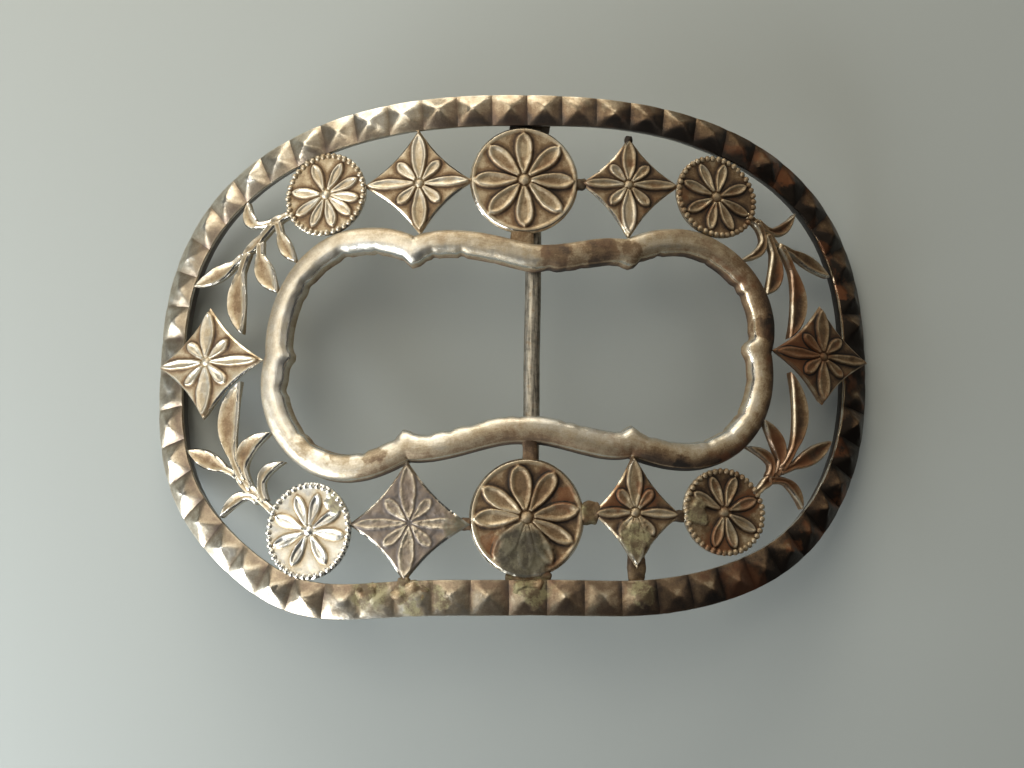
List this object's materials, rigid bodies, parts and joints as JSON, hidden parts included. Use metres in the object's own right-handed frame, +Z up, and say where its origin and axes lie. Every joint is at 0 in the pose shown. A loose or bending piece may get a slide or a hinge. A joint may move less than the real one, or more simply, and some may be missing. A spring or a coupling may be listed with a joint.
{
  "type": "buckle",
  "caption": "Arched openwork silver shoe buckle with a faceted border, a scalloped half-round rim, flower and leaf plates and a steel bar across its window.",
  "frame": {"origin": "on the resting plane, under the middle of the frame", "axes": "+X along the buckle's long side, +Y towards its upper edge in the plane it rests on, +Z up through the crown of the arch"},
  "size_m": [0.0799, 0.0551, 0.0139],
  "materials": {
    "silver": "worn antique silver, tarnished brown in the recesses and bright on the edges",
    "steel": "dark drawn steel"
  },
  "bodies": {
    "root": {"frame": "silver", "bar": "steel"}
  },
  "joints": []
}
